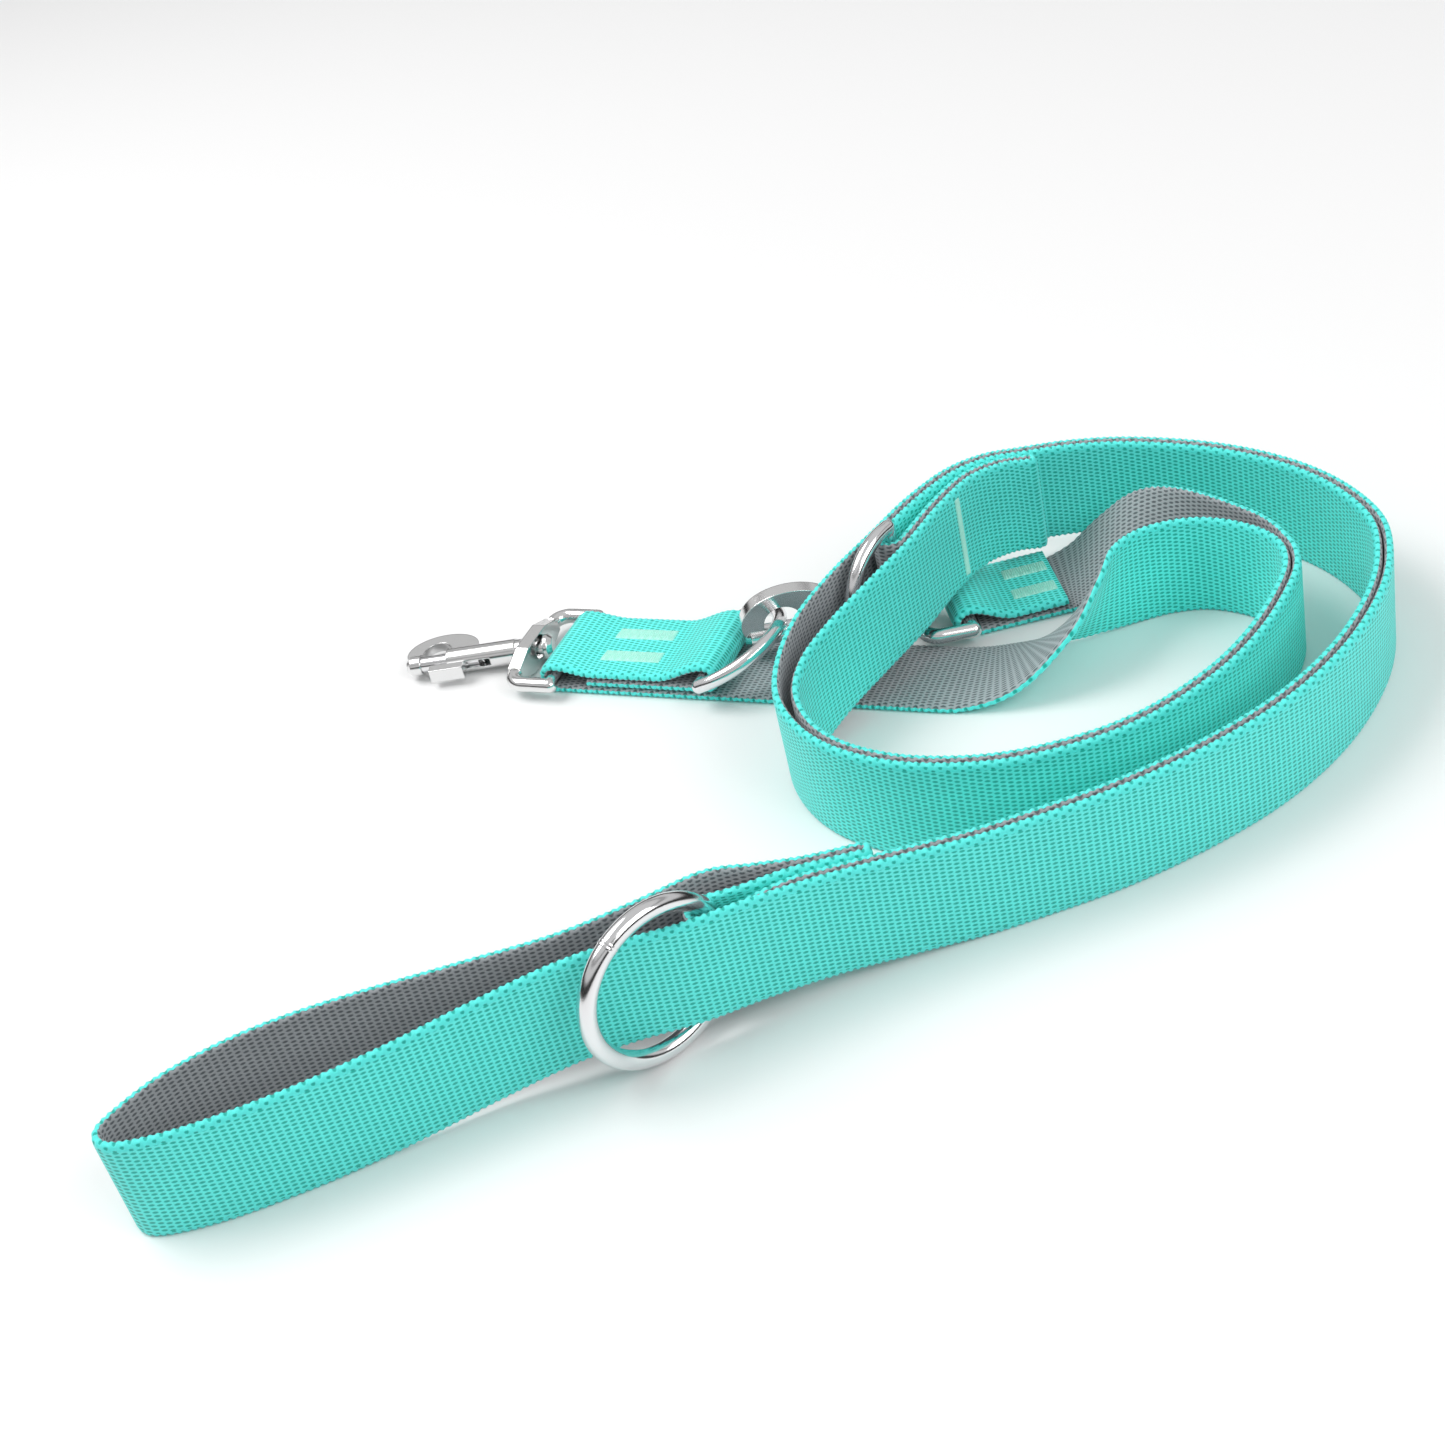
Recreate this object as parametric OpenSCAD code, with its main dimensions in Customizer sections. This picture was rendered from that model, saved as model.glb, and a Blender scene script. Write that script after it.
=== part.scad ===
// Double-ended training leash: two-coloured webbing folded in half, a hand loop with an O-ring,
// a D-ring part of the way along, a D-ring at one end and a swivel bolt snap on each end.
// It lies in a loose flat coil with the webbing on its edge. Millimetres, +Z up, floor at z = 0.

/* [Webbing] */
// Width of the webbing
webbing_w = 25; // [20:1:30]
// Thickness of one ply
webbing_t = 2; // [1.6:0.1:2.4]
// Gap between plies that lie against each other
ply_gap = 0.3; // [0.2:0.05:0.5]
// Play of the webbing on a bar that it wraps
wrap_play = 0.25; // [0.2:0.05:0.4]

/* [Rings] */
// Wire diameter of the O-ring
o_ring_wire = 4; // [3.25:0.25:5]
// Space in the O-ring beyond the webbing's width
o_ring_room = 4; // [3.5:0.5:8]
// Wire diameter of the D-rings
d_ring_wire = 3.5; // [3:0.25:4.25]
// Space in a D-ring beyond the webbing's width
d_ring_room = 1.5; // [1:0.25:3]
// Length of a D-ring's straight arms
d_ring_arm = 2; // [1:0.5:4]

/* [Bolt snaps] */
// Radius of the barrel
barrel_r = 3.9; // [3.5:0.1:4.1]
// Radius of the sliding bolt
bolt_r = 2.45; // [2.1:0.05:2.7]
// Radial play of the bolt in its bore
snap_play = 0.05; // [0.03:0.01:0.09]
// How far the bolt slides back
bolt_travel = 7; // [5:0.5:7.5]
// Length of the barrel
barrel_len = 21.5; // [20.5:0.5:26]
// Length of the throat, from the barrel to the nose
throat_len = 8.8; // [8:0.2:12]
// Radius of the swivel post
post_r = 1.7; // [1.5:0.05:1.9]
// Radial play of the post in the eye, which lets the hook swing to the side
swivel_play = 0.75; // [0.7:0.05:0.9]
// Radius of the eye's bar and arms
eye_rod_r = 1.9; // [1.6:0.1:2.2]
// Space in an eye beyond the webbing's width
eye_room = 1.5; // [1:0.25:3]
// Size of snap A's hook as a share of the sizes above
snap_a_size = 0.84; // [0.8:0.01:0.9]
// Size of snap B's hook as a share of the sizes above
snap_b_size = 1.07; // [1:0.01:1.1]

/* [Sewn ends] */
// Length of the three-layer fold at end A, from the D-ring's bar to the eye's bar
fold_a_len = 41; // [38:1:50]
// Length of the two-layer fold at end B, from the eye's bar to the cut end
fold_b_len = 24; // [22:1:26]
// Length of a bar tack at end A
tack_len = 16; // [12:1:17]
// Width of a bar tack
tack_w = 4.2; // [3:0.2:5]
// How far a bar tack stands out of the webbing
tack_h = 0.4; // [0.3:0.1:0.6]

/* [Hidden] */
$fn = 64;

turquoise = "turquoise";
chrome = "silver";
thread = "paleturquoise";
// Moves the whole leash so that the middle of its footprint is at the origin
centring = [-0.2, -3.6, 0];
pitch = webbing_t + ply_gap;
// Radii of the webbing's middle where it wraps the O-ring, a D-ring and an eye's bar
o_wrap = o_ring_wire / 2 + 0.6 + webbing_t / 2;
d_wrap = d_ring_wire / 2 + wrap_play + webbing_t / 2;
eye_wrap = eye_rod_r + wrap_play + webbing_t / 2;
// Radius of the tight turn at the far end of a three-layer fold
tuck = pitch / 2;
// Points for each stretch between two route points
steps = 4;

// ---- curves ----
function unit(v) = v / norm(v);
function left_of(v) = [-v[1], v[0], 0];
function flat3(v) = [v[0], v[1], 0];
// Catmull-Rom curve through rows of numbers; the first and last rows only set the end directions
function spline_at(p, i, u) = 0.5 * (2 * p[i] + (p[i + 1] - p[i - 1]) * u
    + (2 * p[i - 1] - 5 * p[i] + 4 * p[i + 1] - p[i + 2]) * u * u
    + (3 * p[i] - p[i - 1] - 3 * p[i + 1] + p[i + 2]) * u * u * u);
function spline(p) = [for (i = [1 : len(p) - 3]) for (k = [0 : steps - 1]) spline_at(p, i, k / steps),
    p[len(p) - 2]];
function heading(q, i) = unit(flat3(q[min(i + 1, len(q) - 1)] - q[max(i - 1, 0)]));
// Rows [x, y, lift, extra] moved to the left of their direction by d plus share times extra
function beside(q, d, share = 0) = [for (i = [0 : len(q) - 1])
    let (s = left_of(heading(q, i)) * (d + share * q[i][3])) [q[i][0] + s[0], q[i][1] + s[1], q[i][2], 0]];
function part_of(q, a, b) = [for (i = [a : (b >= a ? 1 : -1) : b]) q[i]];
function arc(c, r, a0, a1, n, lift) = [for (k = [0 : n]) let (a = a0 + (a1 - a0) * k / n)
    [c[0] + r * cos(a), c[1] + r * sin(a), lift, 0]];
function angle_of(v) = atan2(v[1], v[0]);

// ---- webbing strips ----
// Stations are [centre, width direction, width, shift of both edges]
function standing(q) = [for (r = q) [[r[0], r[1], max(r[2], 0) + webbing_w / 2], [0, 0, 1], webbing_w,
    [0, 0, 0]]];
function strip_dir(s, i) = unit(s[min(i + 1, len(s) - 1)][0] - s[max(i - 1, 0)][0]);
function strip_ring(s, i, t) = let (n = unit(cross(strip_dir(s, i), s[i][1])) * t / 2,
        e = s[i][1] * s[i][2] / 2, c = s[i][0], b = s[i][3])
    [c - e + b - n, c - n, c + e + b - n, c + e + b + n, c + n, c - e + b + n];
module strip(s, t = webbing_t) {
    m = len(s);
    points = [for (i = [0 : m - 1]) each strip_ring(s, i, t)];
    sides = [for (i = [0 : m - 2]) for (k = [0 : 5]) let (a = i * 6 + k, b = i * 6 + (k + 1) % 6)
        each [[a, a + 6, b], [b, a + 6, b + 6]]];
    near_end = [[0, 1, 5], [1, 4, 5], [1, 2, 4], [2, 3, 4]];
    far_end = [for (f = near_end) [for (k = [2, 1, 0]) f[k] + (m - 1) * 6]];
    polyhedron(points, concat(near_end, far_end, sides), 4);
}

// ---- route of the coil ----
// Middle of the two plies: [x, y, lift off the floor, extra distance of the inner ply]
wide = 2 * d_wrap + pitch;
coil_route = [
    [10, -63.4, 1.8, 0], [35, -60.8, 0, 0], [60, -57.3, 0, 0], [82, -50.8, 0, 0], [100, -42.3, 0, 0],
    [116, -30.3, 0, 0], [129, -15.5, 0, 0], [137, -1, 0, 0], [140.8, 14, 0, 0], [138, 32, 0, 0],
    [130, 48, 0, 0], [118, 60.5, 0.5, 0], [102, 68, 2.5, 0], [88, 70.3, 4.5, 2 * pitch],
    [75, 69.2, 6.6, 2 * pitch], [66, 66.5, 8.8, 2 * pitch], [56, 61.5, 10.1, 2 * pitch + 0.6],
    [45, 52.8, 10.3, wide - 1.5], [34, 43.5, 8.9, wide], [22, 33.5, 7, wide], [12, 23, 4.8, 6.5],
    [5.5, 11.5, 2.6, 3.4], [3, 0, 0.8, 1.6], [6, -13, 0, 0.4], [13, -24, 0, 0], [25, -33.5, 0, 0],
    [42, -39.6, 0, 0], [60, -40, 0, 0], [75, -36.3, 0, 0], [90, -28.3, 0, 0], [102, -18.3, 0, 0],
    [112, -6.5, 0, 0], [118.3, 4, 0, 0], [119.6, 14, 0, 0], [115, 23.5, 0, 0], [106, 29.5, 0, 0]];
coil = spline(coil_route);
// Sample numbers: the tucked end and the ring end of the mid D-ring's fold, and the ends of the two plies
tuck_i = 13 * steps;
ring_i = 17 * steps;
outer_end_i = 32 * steps;
inner_end_i = 33 * steps;
outer_rows = beside(coil, -pitch / 2);
inner_rows = beside(coil, pitch / 2);
// The ply's second and third layers in the mid D-ring's fold; the third goes on as the inner ply
back_rows = beside(coil, -pitch / 2, 1);
third_rows = beside(coil, pitch / 2, 1);

// ---- hand loop and O-ring ----
o_ring_r = (webbing_w + o_ring_room + o_ring_wire) / 2;
o_ring_z = o_ring_r + o_ring_wire / 2;
o_ring_turn = 32;
o_ring_centre = [-35, -73.2];
o_ring_dir = [cos(o_ring_turn), sin(o_ring_turn)];
o_grip = o_ring_centre + o_ring_dir * o_ring_r;
o_lift = o_ring_z - webbing_w / 2 - 0.7;
o_grip_w = webbing_w * 0.68;
// How far the round wire has drawn back from its widest point at the edges of the gathered webbing
o_draw = o_ring_r - sqrt(o_ring_r * o_ring_r - o_grip_w * o_grip_w / 4);
gather_from = -2;
function ease(u) = u <= 0 ? 0 : u >= 1 ? 1 : u * u * (3 - 2 * u);
function grip_share(x) = ease((gather_from - x) / (gather_from - o_grip[0]));
function gathered(r) = let (s = grip_share(r[0]))
    [[r[0], r[1], (r[2] + webbing_w / 2) * (1 - s) + o_ring_z * s], [0, 0, 1],
    webbing_w * (1 - s) + o_grip_w * s, [-o_ring_dir[0], -o_ring_dir[1], 0] * o_draw * s];

loop_start = [-22, -57.8, 4.5, 0];
loop_next = [-36, -60.5, 3.5, 0];
front_start = [-42, -73.3, o_lift, 0];
front_before = [-54, -74, o_lift - 1, 0];
loop_route = [[-12, -58.8, 4, 0], loop_start, loop_next, [-52, -63, 2.5, 0], [-73, -62.5, 1, 0],
    [-95, -62.6, 0, 0], [-114, -65.5, 0, 0], [-129, -71.3, 0, 0], [-138, -78, 0, 0], [-141.6, -83, 0, 0],
    [-138, -87.4, 0, 0], [-125, -88, 0, 0], [-107, -85.2, 0, 0], [-88, -80.8, 0.6, 0], [-70, -76.2, 2, 0],
    front_before, front_start, [-28, -72.6, o_lift, 0]];
front_route = [front_before, front_start, [-28, -72.6, o_lift, 0], [-15, -69.6, o_lift - 0.7, 0],
    [0, -66.2, 3, 0], [15, -64.1, 1.4, 0]];
// The inner ply's first fold: in along the back, tucked, back to the ring, round it and away
o_tuck = [9, -59.05];
fold_in = [loop_start, [-12, -58.8, 4, 0], [-2, -59.2, 3, 0], [9, o_tuck[1] + tuck, 1.8, 0]];
fold_back = [[9, o_tuck[1] - tuck, 1.8, 0], [-3, -61.5, 3, 0], [-12, -62, 4, 0]];
fold_out = [[-12, -66, 4, 0], [-3, -64.2, 3, 0], [9, -62.5, 1.8, 0], [22, -61.05, 0.7, 0]];

// ---- webbing ----
module hand_loop_webbing() {
    color(turquoise) strip(standing(spline(loop_route)));
}

outer_lead = spline(concat(front_route, [outer_rows[0], outer_rows[steps]]));
module outer_ply_webbing() {
    color(turquoise) strip(standing(concat(outer_lead, part_of(outer_rows, 1, outer_end_i))));
}

grip_top = [o_grip[0], o_grip[1] + o_wrap, 4.5, 0];
grip_low = [o_grip[0], o_grip[1] - o_wrap, 4.5, 0];
rows_in = spline(concat([loop_next], fold_in, [[12, o_tuck[1] + tuck, 1.4, 0]]));
rows_tuck = arc(o_tuck, tuck, 60, -60, 4, 1.8);
rows_back = spline(concat([[12, o_tuck[1] - tuck, 1.4, 0]], fold_back,
    [grip_top, grip_top + [-4, -1.5, 0, 0]]));
rows_grip = arc(o_grip, o_wrap, 105, 255, 10, 4.5);
rows_out = spline(concat([grip_low + [-4, 1.5, 0, 0], grip_low], fold_out, [inner_rows[0], inner_rows[steps]]));
ring_heading = heading(coil, ring_i);
ring_side = left_of(ring_heading);
tuck_side = left_of(heading(coil, tuck_i));
mid_grip = [coil[ring_i][0] + ring_side[0] * (pitch / 2 + d_wrap),
    coil[ring_i][1] + ring_side[1] * (pitch / 2 + d_wrap)];
mid_tuck = [coil[tuck_i][0] + tuck_side[0] * 2 * pitch, coil[tuck_i][1] + tuck_side[1] * 2 * pitch];
rows_wrap = arc(mid_grip, d_wrap, angle_of(ring_side) + 195, angle_of(ring_side) + 345, 10, coil[ring_i][2]);
rows_turn = arc(mid_tuck, tuck, angle_of(tuck_side) + 150, angle_of(tuck_side) + 30, 4, coil[tuck_i][2]);
module inner_ply_webbing() {
    fold = [for (r = concat(rows_back, rows_grip, rows_out)) gathered(r)];
    run = concat(part_of(inner_rows, 1, ring_i), rows_wrap, part_of(back_rows, ring_i, tuck_i), rows_turn,
        part_of(third_rows, tuck_i, inner_end_i));
    color(turquoise) strip(concat(standing(concat(rows_in, rows_tuck)), fold, standing(run)));
}

// Rows [x, y, lift, turn]: the webbing turns from its edge to flat, its upper edge going to the left (side 1)
// or to the right (side -1)
function turned(q, side) = [for (i = [0 : len(q) - 1])
    let (t = min(q[i][3], 90), s = left_of(heading(q, i)) * side)
    [[q[i][0], q[i][1], max(q[i][2], 0) + webbing_w / 2 * cos(t) + webbing_t / 2 * sin(t)],
    [s[0] * sin(t), s[1] * sin(t), cos(t)], webbing_w, [0, 0, 0]]];
// Side view [t, z] of a flat end, t along the direction d from the point o
function laid(side_view, o, d, e) = [for (v = side_view)
    [[o[0] + d[0] * v[0], o[1] + d[1] * v[0], v[1]], e, webbing_w, [0, 0, 0]]];
function arc_view(t, z, r, a0, a1, n) = [for (k = [0 : n]) let (a = a0 + (a1 - a0) * k / n)
    [t + r * cos(a), z + r * sin(a)]];

half_t = webbing_t / 2;
eye_z = half_t + eye_wrap;
end_d_z = half_t + pitch + d_wrap;
end_a_turn = 150.6;
end_a_dir = [cos(end_a_turn), sin(end_a_turn), 0];
end_a_at = [-7, 54, 0];
function on_a(t) = end_a_at + end_a_dir * t;
// Height of the top layer of end A, level in the middle and rising to the D-ring's bar and to the eye's bar
top_a = half_t + 2 * pitch;
function top_view(t) = t > fold_a_len - 11
    ? top_a + (eye_z + eye_wrap - top_a) * ease((t - fold_a_len + 11) / 11)
    : top_a + (end_d_z + d_wrap - top_a) * ease((13 - t) / 13);
module end_a_webbing() {
    lead = spline([inner_rows_end(1), inner_rows_end(0), [107, 29.2, 0, 0], [99, 31.6, 0, 0],
        [91, 31, 0.1, 2], [83, 28, 0.3, 12], [75, 23.7, 0.4, 34], [66, 20.8, 0.4, 60], [56, 21, 0.2, 82],
        [46, 24.4, 0, 90], flat_row(48), flat_row(35), flat_row(22), flat_row(10)]);
    view = concat([for (t = [-12 : 12 : 24]) [t, half_t]],
        arc_view(fold_a_len, eye_z, eye_wrap, -90, 90, 12),
        [for (t = [3, 6, 8.5, 11]) [fold_a_len - t, top_view(fold_a_len - t)]],
        [for (t = [22, 13, 10, 7, 4, 2]) [t, top_view(t)]],
        arc_view(0, end_d_z, d_wrap, 90, 270, 12), [for (t = [12, 24, fold_a_len - 9]) [t, half_t + pitch]]);
    color(turquoise) strip(concat(turned(lead, 1), laid(view, end_a_at, end_a_dir, left_of(end_a_dir))));
}
function inner_rows_end(k) = third_rows[inner_end_i - k * steps];
function flat_row(t) = [on_a(-t)[0], on_a(-t)[1], 0, 90];

end_b_at = [52.4, 54, 0];
module end_b_webbing() {
    lead = spline([outer_rows[outer_end_i - steps], outer_rows[outer_end_i], [119, 24, 0, 0],
        [114, 32.8, 0.1, 2], [107, 40.5, 0.3, 10], [98, 47, 0.4, 30], [89, 51.2, 0.4, 60], [82, 53.3, 0.2, 82],
        [76.5, 54, 0, 90], [70, 54, 0, 90]]);
    view = concat([for (t = [-18, -6]) [t, half_t]], arc_view(0, eye_z, eye_wrap, -90, 90, 12),
        [for (t = [2, 4, 6, 8, 11, 20, fold_b_len])
            [-t, half_t + pitch + (2 * eye_wrap - pitch) * ease((11 - t) / 11)]]);
    color(turquoise) strip(concat(turned(lead, -1), laid(view, end_b_at, [-1, 0, 0], [0, 1, 0])));
}

// ---- stitching ----
module bar_tack(len) {
    for (s = [-1, 1]) translate([0, s * webbing_w * 0.19 - tack_w / 2, 0]) cube([len, tack_w, tack_h]);
}
module end_a_bar_tacks() {
    color(thread) translate([end_a_at[0], end_a_at[1], top_a + half_t]) rotate([0, 0, end_a_turn])
        translate([22 - tack_len / 2, 0, 0]) bar_tack(tack_len);
}
module end_b_bar_tacks() {
    color(thread) translate([end_b_at[0], end_b_at[1], half_t + pitch + half_t])
        translate([12, 0, 0]) bar_tack(fold_b_len - 13);
}
// A row of stitches across the webbing, on the left face of rows q
module cross_tack(q) {
    rows = beside(q, half_t + 0.2);
    color(thread) strip([for (r = rows) [[r[0], r[1], r[2] + webbing_w / 2], [0, 0, 1], webbing_w - 4,
        [0, 0, 0]]], 0.4);
}
module o_ring_fold_stitching() {
    cross_tack(part_of(rows_in, 5, 7));
}
module mid_fold_stitching() {
    cross_tack(part_of(third_rows, ring_i - 6, ring_i - 5));
}

// ---- rings ----
module o_ring() {
    color(chrome) translate([o_ring_centre[0], o_ring_centre[1], o_ring_z]) rotate([90, 0, o_ring_turn])
        rotate_extrude() translate([o_ring_r, 0]) circle(d = o_ring_wire);
}
// Bar along Y through the origin, bow towards +X
module d_ring() {
    r = d_ring_wire / 2;
    half = (webbing_w + d_ring_room) / 2 + r;
    rotate([90, 0, 0]) cylinder(h = 2 * half, r = r, center = true);
    for (s = [-1, 1]) translate([0, s * half, 0]) {
        sphere(r);
        rotate([0, 90, 0]) cylinder(h = d_ring_arm, r = r);
    }
    translate([d_ring_arm, 0, 0]) rotate([0, 0, -90]) rotate_extrude(angle = 180) translate([half, 0])
        circle(r);
}
module mid_d_ring() {
    color(chrome) translate([mid_grip[0], mid_grip[1], coil[ring_i][2] + webbing_w / 2])
        rotate([90, 0, angle_of(ring_heading) + 2]) d_ring();
}
end_d_tilt = 23;
module end_d_ring() {
    color(chrome) translate([end_a_at[0], end_a_at[1], end_d_z]) rotate([0, -end_d_tilt, end_a_turn + 180])
        d_ring();
}

// ---- bolt snaps ----
// A snap's frame: origin in the middle of the eye's bar, +X to the nose, crescent on +Y
hook_x = 16;
plate_x = 11.5;
plug_len = 1.5;
stem_r = 1.2;
stem_x = barrel_len - 4;
nose_x = barrel_len + throat_len;
bolt_len = throat_len + 10.2;
snap_a_place = on_a(fold_a_len) + [0, 0, eye_z];
snap_a_swing = 17;
snap_a_dip = 1;
snap_b_place = end_b_at + [0, 0, eye_z];
snap_b_turn = [78, -4.2, 180];
snap_b_eye_turn = [0, -4.2, 180];
// The hook hangs a little to the side of the eye, turned about the middle of the eye's plate
module at_a() {
    translate(snap_a_place) rotate([0, 0, end_a_turn]) translate([plate_x, 0, 0])
        rotate([180, snap_a_dip, snap_a_swing]) translate([-plate_x, 0, 0]) children();
}
module at_b() {
    translate(snap_b_place) rotate(snap_b_turn) children();
}
module along_x(h, r) {
    rotate([0, 90, 0]) cylinder(h = h, r = r);
}
module eye() {
    half = (webbing_w + eye_room) / 2 + eye_rod_r;
    bend = 4;
    difference() {
        union() {
            rotate([90, 0, 0]) cylinder(h = 2 * half, r = eye_rod_r, center = true);
            for (s = [-1, 1]) translate([0, s * half, 0]) {
                sphere(eye_rod_r);
                along_x(11.5 - bend, eye_rod_r);
            }
            translate([11.5 - bend, half - bend, 0]) rotate_extrude(angle = 90) translate([bend, 0])
                circle(eye_rod_r);
            translate([11.5 - bend, bend - half, 0]) rotate([0, 0, -90]) rotate_extrude(angle = 90)
                translate([bend, 0]) circle(eye_rod_r);
            translate([9.7, 0, 0]) rotate([90, 0, 90]) linear_extrude(3.6) polygon([
                [bend - half, -1.6], [-5, -3.8], [5, -3.8], [half - bend, -1.6],
                [half - bend, 1.6], [5, 3.8], [-5, 3.8], [bend - half, 1.6]]);
        }
        translate([9, 0, 0]) along_x(5, post_r + swivel_play);
    }
}
module post(size) {
    translate([6.3, 0, 0]) rotate([0, 90, 0]) cylinder(h = 1.2, r1 = 2.2, r2 = 3.3);
    translate([7.5, 0, 0]) along_x(1, 3.3);
    translate([8.5, 0, 0]) along_x(hook_x - 8.5, post_r);
    translate([14.4, 0, 0]) along_x(hook_x - 14.4, 3);
    translate([hook_x, 0, 0]) along_x(plug_len * size, (bolt_r + snap_play) * size);
}
// The pieces below start at the barrel's rear end; slot_turn turns the slot away from the crescent
module hook_body(slot_turn) {
    difference() {
        union() {
            along_x(barrel_len, barrel_r);
            linear_extrude(3, center = true) difference() {
                intersection() {
                    translate([nose_x - 6.2, 4.5]) scale([(throat_len + 14) / 2, 8.5]) circle(1);
                    square([60, 20]);
                }
                translate([barrel_len, -1]) square([throat_len, 5]);
                translate([barrel_len + throat_len / 2, 4]) scale([throat_len / 2, 4.8]) circle(1);
            }
            translate([nose_x, 0, 0]) along_x(3.2, 3.1);
            translate([nose_x + 3.2, 0, 0]) rotate([0, 90, 0]) cylinder(h = 1.3, r1 = 3.1, r2 = 2);
        }
        translate([-1, 0, 0]) along_x(nose_x + 2.4, bolt_r + snap_play);
        rotate([slot_turn, 0, 0]) translate([stem_x - bolt_travel - 2.5, 0, -stem_r - 0.1])
            cube([bolt_travel + 4, 7, 2 * stem_r + 0.2]);
    }
}
module bolt(slot_turn) {
    difference() {
        translate([nose_x + 0.7 - bolt_len, 0, 0]) union() {
            along_x(bolt_len - 0.6, bolt_r);
            translate([bolt_len - 0.6, 0, 0]) rotate([0, 90, 0])
                cylinder(h = 0.6, r1 = bolt_r, r2 = bolt_r - 0.5);
        }
        rotate([slot_turn, 0, 0]) translate([stem_x, 0.2, 0]) rotate([-90, 0, 0]) cylinder(h = 5, r = stem_r);
    }
}
module stem(slot_turn) {
    rotate([slot_turn, 0, 0]) translate([stem_x, 0.2, 0]) {
        rotate([-90, 0, 0]) cylinder(h = barrel_r + 0.4, r = stem_r);
        children();
    }
}
module spring() {
    turns = 5;
    n = turns * 14;
    wire = 0.3;
    r = bolt_r - 0.6;
    x0 = plug_len + wire;
    x1 = nose_x + 0.7 - bolt_len - wire;
    ring = 6;
    points = [for (i = [0 : n]) let (a = 360 * turns * i / n) for (k = [0 : ring - 1])
        let (b = 360 * k / ring, q = r + wire * cos(b))
        [x0 + (x1 - x0) * i / n + wire * sin(b), q * cos(a), q * sin(a)]];
    sides = [for (i = [0 : n - 1]) for (k = [0 : ring - 1])
        let (a = i * ring + k, b = i * ring + (k + 1) % ring)
        each [[a, b, a + ring], [b, b + ring, a + ring]]];
    caps = [for (k = [1 : ring - 2]) each [[0, k + 1, k], [n * ring, n * ring + k, n * ring + k + 1]]];
    polyhedron(points, concat(sides, caps), 4);
}
module hook_a() {
    at_a() translate([hook_x, 0, 0]) scale(snap_a_size) children();
}
module hook_b() {
    at_b() translate([hook_x, 0, 0]) scale(snap_b_size) children();
}
module snap_a_eye() {
    color(chrome) translate(snap_a_place) rotate([0, 0, end_a_turn]) eye();
}
module snap_a_post() {
    color(chrome) at_a() post(snap_a_size);
}
module snap_a_body() {
    color(chrome) hook_a() hook_body(180);
}
module snap_a_bolt() {
    color(chrome) hook_a() bolt(180);
}
module snap_a_thumb_piece() {
    color(chrome) hook_a() stem(180) translate([-1.5, barrel_r + 0.1, -2.1]) cube([10.5, 3.3, 4.2]);
}
module snap_a_spring() {
    color(chrome) hook_a() spring();
}
module snap_b_eye() {
    color(chrome) translate(snap_b_place) rotate(snap_b_eye_turn) eye();
}
module snap_b_post() {
    color(chrome) at_b() post(snap_b_size);
}
module snap_b_body() {
    color(chrome) hook_b() hook_body(-90);
}
module snap_b_bolt() {
    color(chrome) hook_b() bolt(-90);
}
module snap_b_thumb_knob() {
    color(chrome) hook_b() stem(-90) translate([0, barrel_r + 0.1, 0]) rotate([-90, 0, 0])
        cylinder(h = 2.6, r = 2.4);
}
module snap_b_spring() {
    color(chrome) hook_b() spring();
}

translate(centring) hand_loop_webbing();
translate(centring) outer_ply_webbing();
translate(centring) inner_ply_webbing();
translate(centring) end_a_webbing();
translate(centring) end_b_webbing();
translate(centring) end_a_bar_tacks();
translate(centring) end_b_bar_tacks();
translate(centring) o_ring_fold_stitching();
translate(centring) mid_fold_stitching();
translate(centring) o_ring();
translate(centring) mid_d_ring();
translate(centring) end_d_ring();
translate(centring) snap_a_eye();
translate(centring) snap_a_post();
translate(centring) snap_a_body();
translate(centring) snap_a_bolt();
translate(centring) snap_a_thumb_piece();
translate(centring) snap_a_spring();
translate(centring) snap_b_eye();
translate(centring) snap_b_post();
translate(centring) snap_b_body();
translate(centring) snap_b_bolt();
translate(centring) snap_b_thumb_knob();
translate(centring) snap_b_spring();
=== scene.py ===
"""Training leash: two-coloured webbing with a hand loop, sewn-in rings and a snap at each end."""

import math

import bpy
import numpy as np
from mathutils import Matrix, Vector


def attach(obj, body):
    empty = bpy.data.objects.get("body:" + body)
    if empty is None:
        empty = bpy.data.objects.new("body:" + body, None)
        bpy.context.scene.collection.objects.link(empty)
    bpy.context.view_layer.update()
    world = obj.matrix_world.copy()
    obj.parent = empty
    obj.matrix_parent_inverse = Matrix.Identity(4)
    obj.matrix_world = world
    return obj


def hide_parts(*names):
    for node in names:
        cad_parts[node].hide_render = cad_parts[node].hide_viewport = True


# The leash as the CAD gives it: every node at rest, in metres, with the floor at z = 0.
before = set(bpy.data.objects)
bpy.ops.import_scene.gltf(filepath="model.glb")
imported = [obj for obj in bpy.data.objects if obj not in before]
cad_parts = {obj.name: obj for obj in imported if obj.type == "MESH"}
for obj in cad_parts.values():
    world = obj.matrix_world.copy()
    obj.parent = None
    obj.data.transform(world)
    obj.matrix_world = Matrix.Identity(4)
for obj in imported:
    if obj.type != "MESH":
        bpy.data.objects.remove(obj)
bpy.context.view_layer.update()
MM = 0.001
scene = bpy.context.scene

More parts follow.
